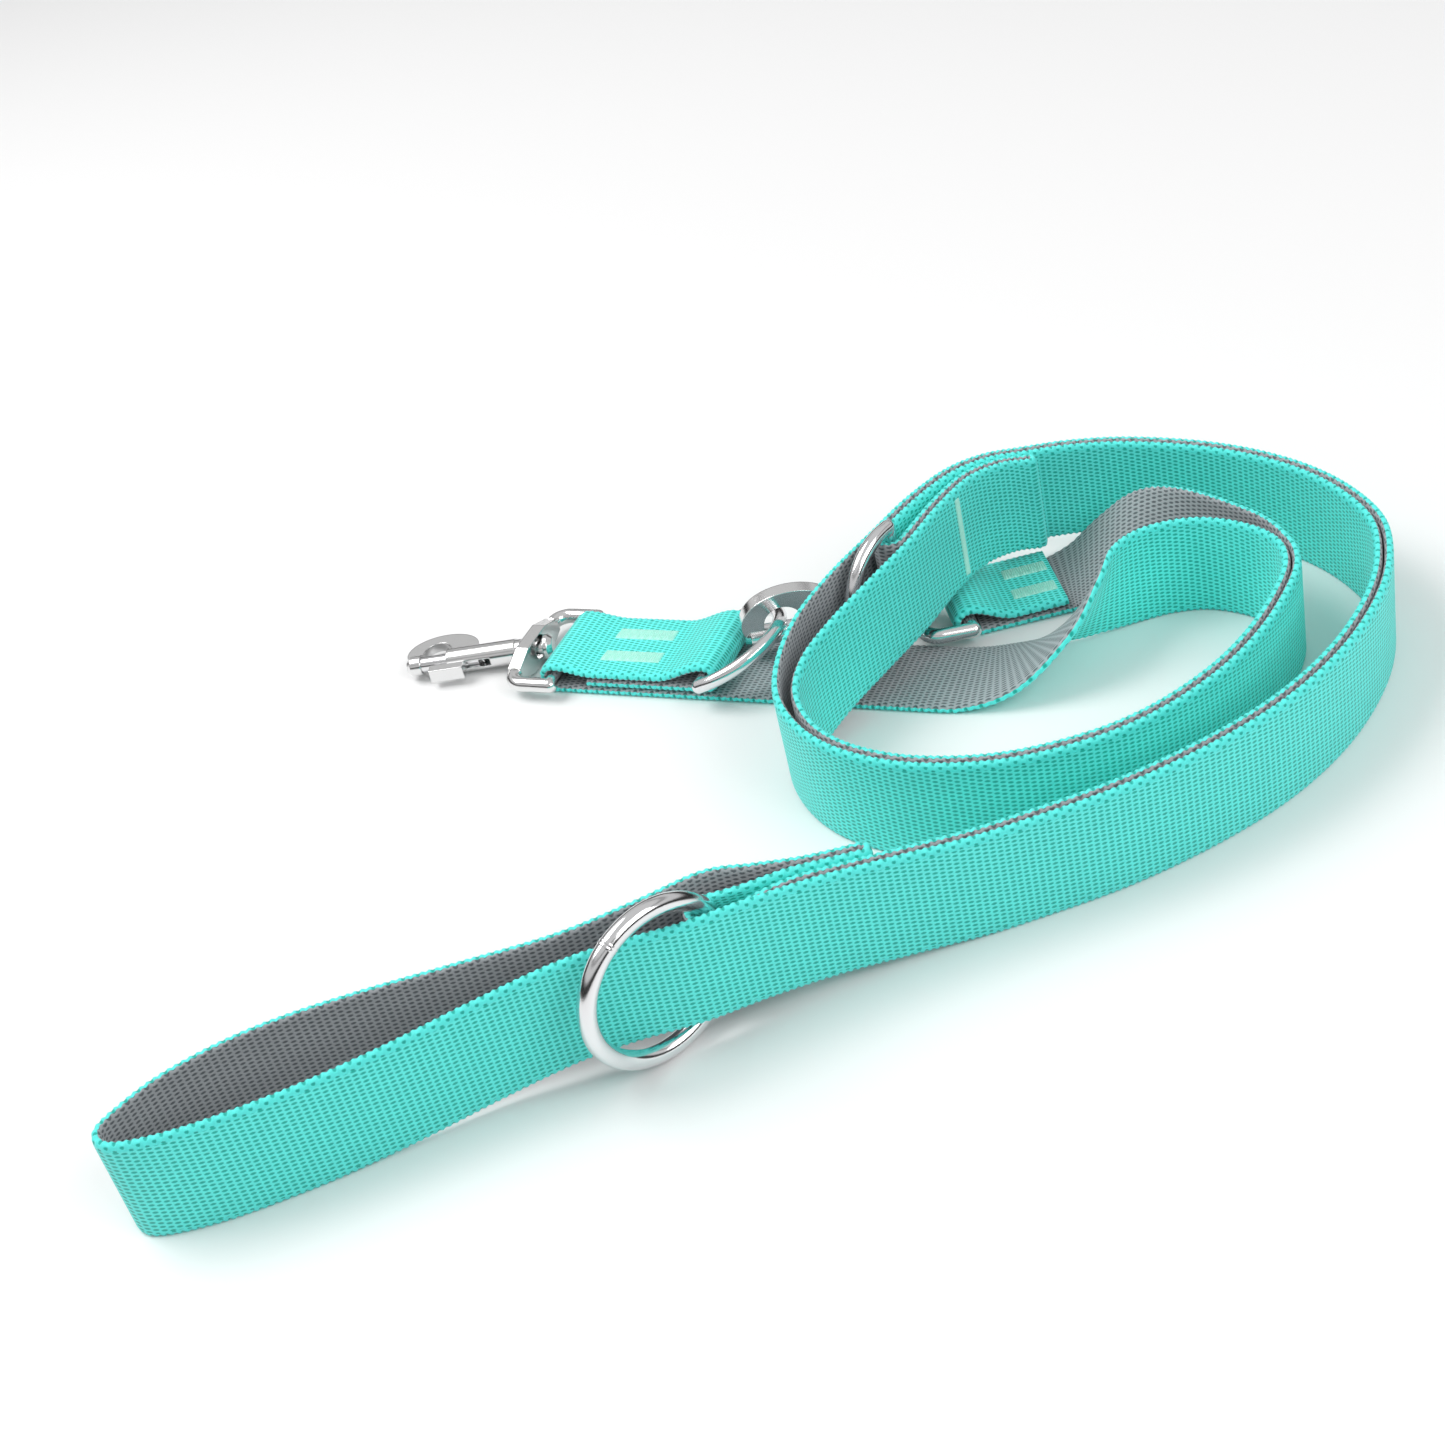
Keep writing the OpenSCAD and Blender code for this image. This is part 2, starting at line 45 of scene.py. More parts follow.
# Camera. It stands in front of the leash and looks down on it from about half a metre away, a little
# tipped to its left.
camera_pitch = math.radians(34.35)
camera_roll = math.radians(-14.14)
camera_at = Vector((-11.2, -380.8, 280.3)) * MM
lens = bpy.data.cameras.new("table_camera")
lens.sensor_width = 36
lens.lens = 52.3
camera = bpy.data.objects.new("table_camera", lens)
tip_down = Matrix.Rotation(math.pi / 2 - camera_pitch, 4, "X")
camera.matrix_world = Matrix.Translation(camera_at) @ tip_down @ Matrix.Rotation(camera_roll, 4, "Z")
scene.collection.objects.link(camera)
scene.camera = camera
scene.view_settings.view_transform = "Standard"

# Strap. One length of polypropylene webbing, turquoise outside and grey inside, folded in half: its middle
# is the hand loop, its two plies run side by side round the coil, and its ends are turned back round the
# snaps' eyes. The ply inside the coil is also folded in a Z twice, to hold the O-ring and the middle
# D-ring.
webbing_w = 25.0
webbing_t = 2.0
pitch = webbing_t + 0.3
o_wire = 4.0
d_wire = 3.5
eye_bar_r = 1.9
snug = 0.25
o_slack = 0.6
o_wrap = o_wire / 2 + o_slack + webbing_t / 2
d_wrap = d_wire / 2 + snug + webbing_t / 2
eye_wrap = eye_bar_r + snug + webbing_t / 2
fold_shift = Vector((-0.2, -3.6, 0))
up = Vector((0, 0, 1))


def left_of(v):
    return Vector((-v[1], v[0], 0))


def curve_through(rows, steps=12):
    """A smooth curve through rows of numbers; the first and last rows only set the end directions."""
    p = np.array([list(r) for r in rows], float)
    out = []
    for i in range(1, len(p) - 2):
        for u in np.arange(steps) / steps:
            out.append(
                0.5
                * (
                    2 * p[i]
                    + (p[i + 1] - p[i - 1]) * u
                    + (2 * p[i - 1] - 5 * p[i] + 4 * p[i + 1] - p[i + 2]) * u**2
                    + (3 * p[i] - p[i - 1] - 3 * p[i + 1] + p[i + 2]) * u**3
                )
            )
    out.append(p[-2])
    return out


def heading(rows, i):
    a, b = rows[max(i - 1, 0)], rows[min(i + 1, len(rows) - 1)]
    return Vector((b[0] - a[0], b[1] - a[1], 0)).normalized()


def beside(rows, distance, share=0):
    """The same run moved to its left, by distance plus a share of each row's own extra distance."""
    out = []
    for i, r in enumerate(rows):
        side = left_of(heading(rows, i)) * (distance + share * r[3])
        out.append([r[0] + side[0], r[1] + side[1], r[2], 0])
    return out


def turn_round(centre, radius, start, end, lift, n=16):
    angles = np.radians(np.linspace(start, end, n + 1))
    return [[centre[0] + radius * math.cos(a), centre[1] + radius * math.sin(a), lift, 0] for a in angles]


def angle_of(v):
    return math.degrees(math.atan2(v[1], v[0]))


def ease(u):
    u = min(max(u, 0.0), 1.0)
    return u * u * (3 - 2 * u)


# Stations of the strap: middle, direction of its width, width, and shift of its two edges.
def on_edge(rows):
    return [(Vector((r[0], r[1], max(r[2], 0) + webbing_w / 2)), up, webbing_w, Vector()) for r in rows]


def laid_over(rows, side):
    """Rows [x, y, lift, turn] where the webbing turns from its edge to flat, to its left or its right."""
    out = []
    for i, r in enumerate(rows):
        t = math.radians(min(r[3], 90))
        s = left_of(heading(rows, i)) * side
        z = max(r[2], 0) + webbing_w / 2 * math.cos(t) + webbing_t / 2 * math.sin(t)
        out.append((Vector((r[0], r[1], z)), s * math.sin(t) + up * math.cos(t), webbing_w, Vector()))
    return out


def flat_end(side_view, origin, along, across):
    return [(Vector(origin) + along * t + up * z, across, webbing_w, Vector()) for t, z in side_view]


def arc_view(t, z, radius, start, end, n=18):
    angles = np.radians(np.linspace(start, end, n + 1))
    return [(t + radius * math.cos(a), z + radius * math.sin(a)) for a in angles]


# Middle of the two plies round the coil: x, y, lift off the floor, and the inner ply's extra distance.
wide = 2 * d_wrap + pitch
steps = 12
coil = curve_through(
    [
        (10, -63.4, 1.8, 0), (35, -60.8, 0, 0), (60, -57.3, 0, 0), (82, -50.8, 0, 0), (100, -42.3, 0, 0),
        (116, -30.3, 0, 0), (129, -15.5, 0, 0), (137, -1, 0, 0), (140.8, 14, 0, 0), (138, 32, 0, 0),
        (130, 48, 0, 0), (118, 60.5, 0.5, 0), (102, 68, 2.5, 0), (88, 70.3, 4.5, 2 * pitch),
        (75, 69.2, 6.6, 2 * pitch), (66, 66.5, 8.8, 2 * pitch), (56, 61.5, 10.1, 2 * pitch + 0.6),
        (45, 52.8, 10.3, wide - 1.5), (34, 43.5, 8.9, wide), (22, 33.5, 7, wide), (12, 23, 4.8, 6.5),
        (5.5, 11.5, 2.6, 3.4), (3, 0, 0.8, 1.6), (6, -13, 0, 0.4), (13, -24, 0, 0), (25, -33.5, 0, 0),
        (42, -39.6, 0, 0), (60, -40, 0, 0), (75, -36.3, 0, 0), (90, -28.3, 0, 0), (102, -18.3, 0, 0),
        (112, -6.5, 0, 0), (118.3, 4, 0, 0), (119.6, 14, 0, 0), (115, 23.5, 0, 0), (106, 29.5, 0, 0),
    ],
    steps,
)
tuck_at = 13 * steps
ring_at = 17 * steps
outer_end = 32 * steps
inner_end = 33 * steps
outer_run = beside(coil, -pitch / 2)
inner_run = beside(coil, pitch / 2)
back_run = beside(coil, -pitch / 2, 1)
third_run = beside(coil, pitch / 2, 1)

# Hand loop, and the fold beside it that holds the O-ring, gathered to fit inside the round wire.
o_room = 4
o_ring_turn = math.radians(32)
gather = 0.68
o_ring_r = (webbing_w + o_room + o_wire) / 2
o_ring_z = o_ring_r + o_wire / 2
o_ring_dir = Vector((math.cos(o_ring_turn), math.sin(o_ring_turn), 0))
o_grip = Vector((-35, -73.2, 0)) + o_ring_dir * o_ring_r
o_lift = o_ring_z - webbing_w / 2 - 0.7
gathered_w = webbing_w * gather
drawn_back = o_ring_r - math.sqrt(o_ring_r**2 - gathered_w**2 / 4)


def gathered(rows):
    out = []
    for r in rows:
        s = ease((-2 - r[0]) / (-2 - o_grip[0]))
        middle = Vector((r[0], r[1], (r[2] + webbing_w / 2) * (1 - s) + o_ring_z * s))
        out.append((middle, up, webbing_w * (1 - s) + gathered_w * s, -o_ring_dir * drawn_back * s))
    return out


loop_start = (-22, -57.8, 4.5, 0)
loop_next = (-36, -60.5, 3.5, 0)
front_before = (-54, -74, o_lift - 1, 0)
front_start = (-42, -73.3, o_lift, 0)
hand_loop = curve_through(
    [
        (-12, -58.8, 4, 0), loop_start, loop_next, (-52, -63, 2.5, 0), (-73, -62.5, 1, 0),
        (-95, -62.6, 0, 0), (-114, -65.5, 0, 0), (-129, -71.3, 0, 0), (-138, -78, 0, 0), (-141.6, -83, 0, 0),
        (-138, -87.4, 0, 0), (-125, -88, 0, 0), (-107, -85.2, 0, 0), (-88, -80.8, 0.6, 0), (-70, -76.2, 2, 0),
        front_before, front_start, (-28, -72.6, o_lift, 0),
    ]
)
to_coil = [front_before, front_start, (-28, -72.6, o_lift, 0)]
to_coil += [(-15, -69.6, o_lift - 0.7, 0), (0, -66.2, 3, 0)]
front_run = curve_through(to_coil + [(15, -64.1, 1.4, 0), outer_run[0], outer_run[steps]])
tuck = pitch / 2
o_tuck = (9, -59.05)
fold_in = [loop_next, loop_start, (-12, -58.8, 4, 0), (-2, -59.2, 3, 0), (9, o_tuck[1] + tuck, 1.8, 0)]
fold_in = curve_through(fold_in + [(12, o_tuck[1] + tuck, 1.4, 0)])
grip_top = (o_grip[0], o_grip[1] + o_wrap, 4.5, 0)
grip_low = (o_grip[0], o_grip[1] - o_wrap, 4.5, 0)
fold_back = [(12, o_tuck[1] - tuck, 1.4, 0), (9, o_tuck[1] - tuck, 1.8, 0)]
fold_back += [(-3, -61.5, 3, 0), (-12, -62, 4, 0)]
fold_back = curve_through(fold_back + [grip_top, (grip_top[0] - 4, grip_top[1] - 1.5, 4.5, 0)])
fold_out = [(grip_low[0] - 4, grip_low[1] + 1.5, 4.5, 0), grip_low, (-12, -66, 4, 0), (-3, -64.2, 3, 0)]
fold_out += [(9, -62.5, 1.8, 0), (22, -61.05, 0.7, 0), inner_run[0], inner_run[steps]]
fold_out = curve_through(fold_out)
o_fold = fold_back + turn_round(o_grip, o_wrap, 100, 260, 4.5) + fold_out

# Middle D-ring's fold: to the ring and round its bar, back, tucked, and on beside the ring.
ring_heading = heading(coil, ring_at)
ring_side = left_of(ring_heading)
tuck_side = left_of(heading(coil, tuck_at))
mid_grip = Vector(coil[ring_at][:2]).to_3d() + ring_side * (pitch / 2 + d_wrap)
mid_tuck = Vector(coil[tuck_at][:2]).to_3d() + tuck_side * 2 * pitch
ring_angle = angle_of(ring_side)
tuck_angle = angle_of(tuck_side)
ring_turn = turn_round(mid_grip, d_wrap, ring_angle + 190, ring_angle + 350, coil[ring_at][2])
tuck_turn = turn_round(mid_tuck, tuck, tuck_angle + 160, tuck_angle + 20, coil[tuck_at][2], 10)
inner_chain = (
    on_edge(fold_in + turn_round(o_tuck, tuck, 70, -70, 1.8, 10))
    + gathered(o_fold)
    + on_edge(inner_run[1 : ring_at + 1] + ring_turn + back_run[ring_at : tuck_at - 1 : -1] + tuck_turn)
    + on_edge(third_run[tuck_at : inner_end + 1])
)

# End A: turned over to lie flat, round snap A's eye, back on top, round the end D-ring's bar and under.
half_t = webbing_t / 2
eye_z = half_t + eye_wrap
end_d_z = half_t + pitch + d_wrap
fold_a_len = 41.0
end_a_turn = math.radians(150.6)
end_a_dir = Vector((math.cos(end_a_turn), math.sin(end_a_turn), 0))
end_a_at = Vector((-7, 54, 0))
top_a = half_t + 2 * pitch


def flat_row(t):
    return (end_a_at[0] - end_a_dir[0] * t, end_a_at[1] - end_a_dir[1] * t, 0, 90)


def top_view(t):
    if t > fold_a_len - 11:
        return top_a + (eye_z + eye_wrap - top_a) * ease((t - fold_a_len + 11) / 11)
    return top_a + (end_d_z + d_wrap - top_a) * ease((13 - t) / 13)


end_a_lead = curve_through(
    [
        third_run[inner_end - steps], third_run[inner_end], (107, 29.2, 0, 0), (99, 31.6, 0, 0),
        (91, 31, 0.1, 2), (83, 28, 0.3, 12), (75, 23.7, 0.4, 34), (66, 20.8, 0.4, 60), (56, 21, 0.2, 82),
        (46, 24.4, 0, 90), flat_row(48), flat_row(35), flat_row(22), flat_row(10),
    ]
)
end_a_view = (
    [(-12, half_t), (12, half_t), (30, half_t)]
    + arc_view(fold_a_len, eye_z, eye_wrap, -90, 90)
    + [(t, top_view(t)) for t in np.arange(fold_a_len - 1, 0.5, -1)]
    + arc_view(0, end_d_z, d_wrap, 90, 270)
    + [(t, half_t + pitch) for t in (6, 20, fold_a_len - 9)]
)
end_a_chain = laid_over(end_a_lead, 1) + flat_end(end_a_view, end_a_at, end_a_dir, left_of(end_a_dir))

# End B: turned over the other way, round snap B's eye and back on top.
end_b_at = Vector((52.4, 54, 0))
fold_b_len = 24.0
end_b_lead = curve_through(
    [
        outer_run[outer_end - steps], outer_run[outer_end], (119, 24, 0, 0), (114, 32.8, 0.1, 2),
        (107, 40.5, 0.3, 10), (98, 47, 0.4, 30), (89, 51.2, 0.4, 60), (82, 53.3, 0.2, 82),
        (76.5, 54, 0, 90), (70, 54, 0, 90),
    ]
)
end_b_view = (
    [(-18, half_t), (-6, half_t)]
    + arc_view(0, eye_z, eye_wrap, -90, 90)
    + [
        (-t, half_t + pitch + (2 * eye_wrap - pitch) * ease((11 - t) / 11))
        for t in np.arange(1, fold_b_len + 0.5)
    ]
)
end_b_chain = laid_over(end_b_lead, -1)
end_b_chain += flat_end(end_b_view, end_b_at, Vector((-1, 0, 0)), Vector((0, 1, 0)))

# The whole strap from the cut end at A to the cut end at B, in even steps of a quarter of a weave column.
chain = (inner_chain + end_a_chain)[::-1] + on_edge(hand_loop[1:] + front_run[1:])
chain += on_edge(outer_run[1 : outer_end + 1]) + end_b_chain
closest = 0.05
kept = [chain[0]]
for station in chain[1:]:
    if (station[0] - kept[-1][0]).length > closest:
        kept.append(station)
column = 1.5
middles = np.array([s[0] for s in kept])
reach = np.concatenate(([0], np.cumsum(np.linalg.norm(np.diff(middles, axis=0), axis=1))))
strap_len = reach[-1]
where = np.linspace(0, strap_len, int(strap_len / column * 4) + 1)


def evened(values):
    v = np.array(values, float)
    return np.stack([np.interp(where, reach, v[:, k]) for k in range(3)], axis=1)


middle = evened(middles)
across = evened([s[1] for s in kept])
across /= np.linalg.norm(across, axis=1)[:, None]
width = np.interp(where, reach, [s[2] for s in kept])
shift = evened([s[3] for s in kept])
forward = np.gradient(middle, axis=0)
forward /= np.linalg.norm(forward, axis=1)[:, None]
face = np.cross(forward, across)
face /= np.linalg.norm(face, axis=1)[:, None]

# Cross-section, from one selvedge over the turquoise face to the other and back over the grey face. The
# selvedges swell at each turn of the weft.
rim = [(0.5, 0.0), (0.495, 0.45), (0.475, 0.85), (0.44, 1.0), (0.22, 1.0), (0.0, 1.0)]
loop = rim + [(-v, h) for v, h in rim[-2::-1]]
loop += [(v, -h) for v, h in loop[-2:0:-1]]
row_across = np.array([v for v, h in loop])
row_high = np.array([h for v, h in loop])
swell = 0.2 * np.cos(2 * math.pi * where / column)
points = []
for v, h in zip(row_across, row_high):
    at_rim = abs(v) > 0.46
    spread = v * width + (math.copysign(1, v) * swell * at_rim if v else 0)
    edge_share = np.abs(v) * 2
    ring = middle + across * spread[:, None] + shift * edge_share + face * (h * webbing_t / 2)
    points.append(ring)
points = np.stack(points, axis=1) + np.array(fold_shift)
count, sides = points.shape[:2]
verts = (points.reshape(-1, 3) * MM).tolist()
faces = []
for i in range(count - 1):
    a = i * sides
    for k in range(sides):
        j = (k + 1) % sides
        faces.append((a + k, a + j, a + sides + j, a + sides + k))
faces.append(tuple(range(sides))[::-1])
faces.append(tuple((count - 1) * sides + k for k in range(sides)))
strap_mesh = bpy.data.meshes.new("strap")
strap_mesh.from_pydata(verts, [], faces)
weave_uv = strap_mesh.uv_layers.new(name="weave")
vertex_of = np.zeros(len(strap_mesh.loops), dtype=np.int32)
strap_mesh.loops.foreach_get("vertex_index", vertex_of)
uv = np.stack([where[vertex_of // sides], (row_across * webbing_w)[vertex_of % sides]], axis=1)
weave_uv.data.foreach_set("uv", uv.ravel())
strap = bpy.data.objects.new("strap", strap_mesh)
scene.collection.objects.link(strap)
strap_mesh.shade_smooth()


def weave(name, ground, shaded_dash, column, row, stagger, dash_len, dash_high, roughness):
    """Woven face: a ground of warp knuckles, with the weft pits between them as short dashes darkened with
    painted shade.
    """
    material = bpy.data.materials.new(name)
    material.use_nodes = True
    nodes, links = material.node_tree.nodes, material.node_tree.links
    shader = nodes["Principled BSDF"]
    shader.inputs["Roughness"].default_value = roughness
    shader.inputs["Sheen Weight"].default_value = 0.2
    shader.inputs["Sheen Roughness"].default_value = 0.4
    place = nodes.new("ShaderNodeUVMap")
    place.uv_map = "weave"
    split = nodes.new("ShaderNodeSeparateXYZ")
    links.new(place.outputs["UV"], split.inputs[0])

    def sum_of(kind, a, b=0.0):
        node = nodes.new("ShaderNodeMath")
        node.operation = kind
        for socket, value in zip(node.inputs, (a, b)):
            if isinstance(value, (int, float)):
                socket.default_value = value
            else:
                links.new(value, socket)
        return node.outputs[0]

    def square(value):
        return sum_of("MULTIPLY", value, value)

    columns = sum_of("DIVIDE", split.outputs["X"], column)
    rows = sum_of("DIVIDE", split.outputs["Y"], row)
    rows = sum_of("ADD", rows, sum_of("MULTIPLY", sum_of("FLOOR", columns), stagger))
    along_cell = sum_of("SUBTRACT", sum_of("FRACT", columns), 0.5)
    across_cell = sum_of("SUBTRACT", sum_of("FRACT", rows), 0.5)
    off_dash = sum_of("ADD", square(sum_of("MULTIPLY", along_cell, 2 * column / dash_len)),
                      square(sum_of("MULTIPLY", across_cell, 2 * row / dash_high)))
    knuckle = nodes.new("ShaderNodeMapRange")
    knuckle.interpolation_type = "SMOOTHSTEP"
    links.new(off_dash, knuckle.inputs["Value"])
    for key, value in (("From Min", 0.35), ("From Max", 2.2), ("To Min", 0.0), ("To Max", 1.0)):
        knuckle.inputs[key].default_value = value
    yarn = nodes.new("ShaderNodeTexNoise")
    yarn.inputs["Scale"].default_value = 1900
    yarn.inputs["Detail"].default_value = 3
    worn = nodes.new("ShaderNodeTexNoise")
    worn.inputs["Scale"].default_value = 60
    worn.inputs["Detail"].default_value = 2
    # Colour A, the dark dash colour, is painted shade in the pits between the knuckles.
    colour = nodes.new("ShaderNodeMix")
    colour.data_type = "RGBA"
    links.new(knuckle.outputs[0], colour.inputs["Factor"])
    colour.inputs["A"].default_value = (*shaded_dash, 1)
    colour.inputs["B"].default_value = (*ground, 1)
    shade = nodes.new("ShaderNodeHueSaturation")
    shade.inputs["Saturation"].default_value = 1.0
    patchy = sum_of("MULTIPLY", sum_of("ADD", worn.outputs["Fac"], yarn.outputs["Fac"]), 0.16)
    links.new(sum_of("ADD", patchy, 0.84), shade.inputs["Value"])
    links.new(colour.outputs["Result"], shade.inputs["Color"])
    links.new(shade.outputs["Color"], shader.inputs["Base Color"])
    ribs = sum_of("COSINE", sum_of("MULTIPLY", rows, 2 * math.pi))
    height = sum_of("ADD", knuckle.outputs[0], sum_of("MULTIPLY", yarn.outputs["Fac"], 0.5))
    height = sum_of("SUBTRACT", height, sum_of("MULTIPLY", ribs, 0.12))
    bump = nodes.new("ShaderNodeBump")
    bump.inputs["Strength"].default_value = 0.6
    bump.inputs["Distance"].default_value = 0.2 * MM
    links.new(height, bump.inputs["Height"])
    links.new(bump.outputs[0], shader.inputs["Normal"])
    return material


# The second colour of each face is its dark dash colour: painted shade in the weave's pits.
turquoise_face = weave("turquoise_weave", (0.13, 0.92, 0.86), (0.0, 0.47, 0.38), column, 1.0, 1 / 3,
                       1.0, 0.5, 0.6)
grey_face = weave("grey_weave", (0.40, 0.43, 0.45), (0.12, 0.14, 0.15), column, 1.0, 1 / 3, 1.0, 0.5, 0.65)
selvedge = weave("turquoise_selvedge", (0.10, 0.88, 0.82), (0.0, 0.42, 0.35), column, 1.4, 0.5,
                 0.7, 0.5, 0.6)
for m in (turquoise_face, grey_face, selvedge):
    strap_mesh.materials.append(m)
part_of_side = []
for k in range(sides):
    v = (abs(row_across[k]) + abs(row_across[(k + 1) % sides])) / 2
    h = row_high[k] + row_high[(k + 1) % sides]
    part_of_side.append(2 if v > 0.45 and h > -0.5 else (0 if h > 0 else 1))
slots = np.tile(part_of_side, count - 1).tolist() + [1, 1]
strap_mesh.polygons.foreach_set("material_index", slots)
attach(strap, "strap")
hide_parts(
    "hand_loop_webbing",
    "outer_ply_webbing",
    "inner_ply_webbing",
    "end_a_webbing",
    "end_b_webbing",
)

# Bar tacks. Polyester thread sewn back and forth over the folds, in close satin rows that stand a little
# proud of the webbing: two blocks at each sewn end, and a row across each of the two Z folds.
thread_pitch = 0.55
steps_per_row = 8
satin_columns = 24
stitch_slant = 0.22
end_dip = 0.3
tack_w = 4.2
tack_h = 0.5
tack_a_len = 16
tack_b_len = 11
tack_spread = 0.19 * webbing_w
tack_a_from_ring = 22
tack_b_from_eye = 17.5
cross_row_w = 1.8
cross_row_h = 0.4
cross_row_margin = 4
o_row_at = 18
mid_row_at = ring_at - 17
thread = bpy.data.materials.new("satin_thread")
thread.use_nodes = True
thread_shader = thread.node_tree.nodes["Principled BSDF"]
thread_shader.inputs["Roughness"].default_value = 0.35
thread_shader.inputs["Sheen Weight"].default_value = 0.4
thread_ply = thread.node_tree.nodes.new("ShaderNodeTexNoise")
thread_ply.inputs["Scale"].default_value = 1500
thread_ply.inputs["Detail"].default_value = 3
thread_tint = thread.node_tree.nodes.new("ShaderNodeValToRGB")
thread_tint.color_ramp.elements[0].position = 0.3
thread_tint.color_ramp.elements[0].color = (0.28, 0.82, 0.68, 1)
thread_tint.color_ramp.elements[1].position = 0.62
thread_tint.color_ramp.elements[1].color = (0.55, 0.95, 0.84, 1)
thread.node_tree.links.new(thread_ply.outputs["Fac"], thread_tint.inputs[0])
thread.node_tree.links.new(thread_tint.outputs["Color"], thread_shader.inputs["Base Color"])


def satin(name, at, along, across, raised, length, breadth, height, body):
    """A block of satin stitch: rounded rows of thread side by side, dipping into the cloth at its ends."""
    n_long = int(length / thread_pitch) * steps_per_row
    n_wide = satin_columns
    verts = []
    for i in range(n_long + 1):
        u = i / n_long * length
        ridge = abs(math.sin(math.pi * u / thread_pitch)) ** 0.7
        slant = stitch_slant * math.sin(math.pi * u / thread_pitch / 2)
        for k in range(n_wide + 1):
            v = k / n_wide * 2 - 1
            dome = (1 - abs(v) ** 6) ** 0.5
            end = min(1.0, u / end_dip, (length - u) / end_dip)
            rise = height * (0.25 + 0.75 * ridge) * dome * max(end, 0.0)
            stitch = along * (u - length / 2 + slant * v) + across * (v * breadth / 2)
            verts.append(at + stitch + raised * rise)
    w = n_wide + 1
    faces = [
        (i * w + k, (i + 1) * w + k, (i + 1) * w + k + 1, i * w + k + 1)
        for i in range(n_long)
        for k in range(n_wide)
    ]
    mesh = bpy.data.meshes.new(name)
    mesh.from_pydata([tuple((v + fold_shift) * MM) for v in verts], [], faces)
    mesh.shade_smooth()
    mesh.materials.append(thread)
    block = bpy.data.objects.new(name, mesh)
    scene.collection.objects.link(block)
    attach(block, body)
    return block


end_a_across = left_of(end_a_dir)
end_b_out = Vector((1, 0, 0))
end_b_across = left_of(end_b_out)
tack_a_at = end_a_at + end_a_dir * tack_a_from_ring + up * (top_a + half_t - 0.05)
tack_b_at = end_b_at + Vector((tack_b_from_eye, 0, half_t + pitch + half_t - 0.05))
for side in (-1, 1):
    a_at = tack_a_at + end_a_across * (side * tack_spread)
    b_at = tack_b_at + end_b_across * (side * tack_spread)
    tack_a = satin(
        f"tack_a_{side + 2}", a_at, end_a_dir, end_a_across, up, tack_a_len, tack_w, tack_h, "strap"
    )
    tack_b = satin(
        f"tack_b_{side + 2}", b_at, end_b_out, end_b_across, up, tack_b_len, tack_w, tack_h, "strap"
    )
    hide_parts("end_a_bar_tacks")
    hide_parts("end_b_bar_tacks")


def cross_row(name, rows, i, node):
    """A row of satin stitch down the webbing's width, on its turquoise face."""
    side = left_of(heading(rows, i))
    at = Vector((rows[i][0], rows[i][1], rows[i][2] + webbing_w / 2)) + side * (half_t - 0.02)
    row_len = webbing_w - cross_row_margin
    row = satin(name, at, up, heading(rows, i), side, row_len, cross_row_w, cross_row_h, "strap")
    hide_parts(node)


cross_row("o_ring_cross_row", fold_in, o_row_at, "o_ring_fold_stitching")
cross_row("mid_ring_cross_row", third_run, mid_row_at, "mid_fold_stitching")

# Rings and snaps. The rings are steel wire, bent and butt-welded, and the snaps' parts are die-cast zinc;
# all are plated bright, with the slight unevenness of tumbled and plated metal.
def plated(name, tint, roughness, ripple, round_edge):
    """Bright plating over metal that isn't quite flat, its sharp edges rounded off."""
    metal = bpy.data.materials.new(name)
    metal.use_nodes = True
    nodes, links = metal.node_tree.nodes, metal.node_tree.links
    shader = nodes["Principled BSDF"]
    shader.inputs["Base Color"].default_value = (*tint, 1)
    shader.inputs["Metallic"].default_value = 1
    uneven = nodes.new("ShaderNodeTexNoise")
    uneven.inputs["Scale"].default_value = 260
    uneven.inputs["Detail"].default_value = 1
    smudge = nodes.new("ShaderNodeMapRange")
    smudge.inputs["From Min"].default_value = 0.3
    smudge.inputs["From Max"].default_value = 0.7
    smudge.inputs["To Min"].default_value = roughness
    smudge.inputs["To Max"].default_value = roughness + 0.12
    links.new(uneven.outputs["Fac"], smudge.inputs["Value"])
    links.new(smudge.outputs[0], shader.inputs["Roughness"])
    rounded = nodes.new("ShaderNodeBevel")
    rounded.samples = 8
    rounded.inputs["Radius"].default_value = round_edge * MM
    bump = nodes.new("ShaderNodeBump")
    bump.inputs["Strength"].default_value = ripple
    bump.inputs["Distance"].default_value = 0.15 * MM
    links.new(uneven.outputs["Fac"], bump.inputs["Height"])
    links.new(rounded.outputs[0], bump.inputs["Normal"])
    links.new(bump.outputs[0], shader.inputs["Normal"])
    return metal


wire_chrome = plated("wire_chrome", (0.80, 0.80, 0.81), 0.06, 0.05, 0.1)
cast_chrome = plated("cast_chrome", (0.77, 0.77, 0.77), 0.08, 0.06, 0.35)
bolt_chrome = plated("bolt_chrome", (0.78, 0.78, 0.79), 0.08, 0.05, 0.2)
finish_of = {"o_ring": wire_chrome, "mid_d_ring": wire_chrome, "end_d_ring": wire_chrome}
for snap, thumb in (("snap_a", "thumb_piece"), ("snap_b", "thumb_knob")):
    for part in ("eye", "post", "body", thumb):
        finish_of[f"{snap}_{part}"] = cast_chrome
    for part in ("bolt", "spring"):
        finish_of[f"{snap}_{part}"] = bolt_chrome
for node, metal in finish_of.items():
    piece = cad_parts[node]
    piece.data.materials.clear()
    piece.data.materials.append(metal)

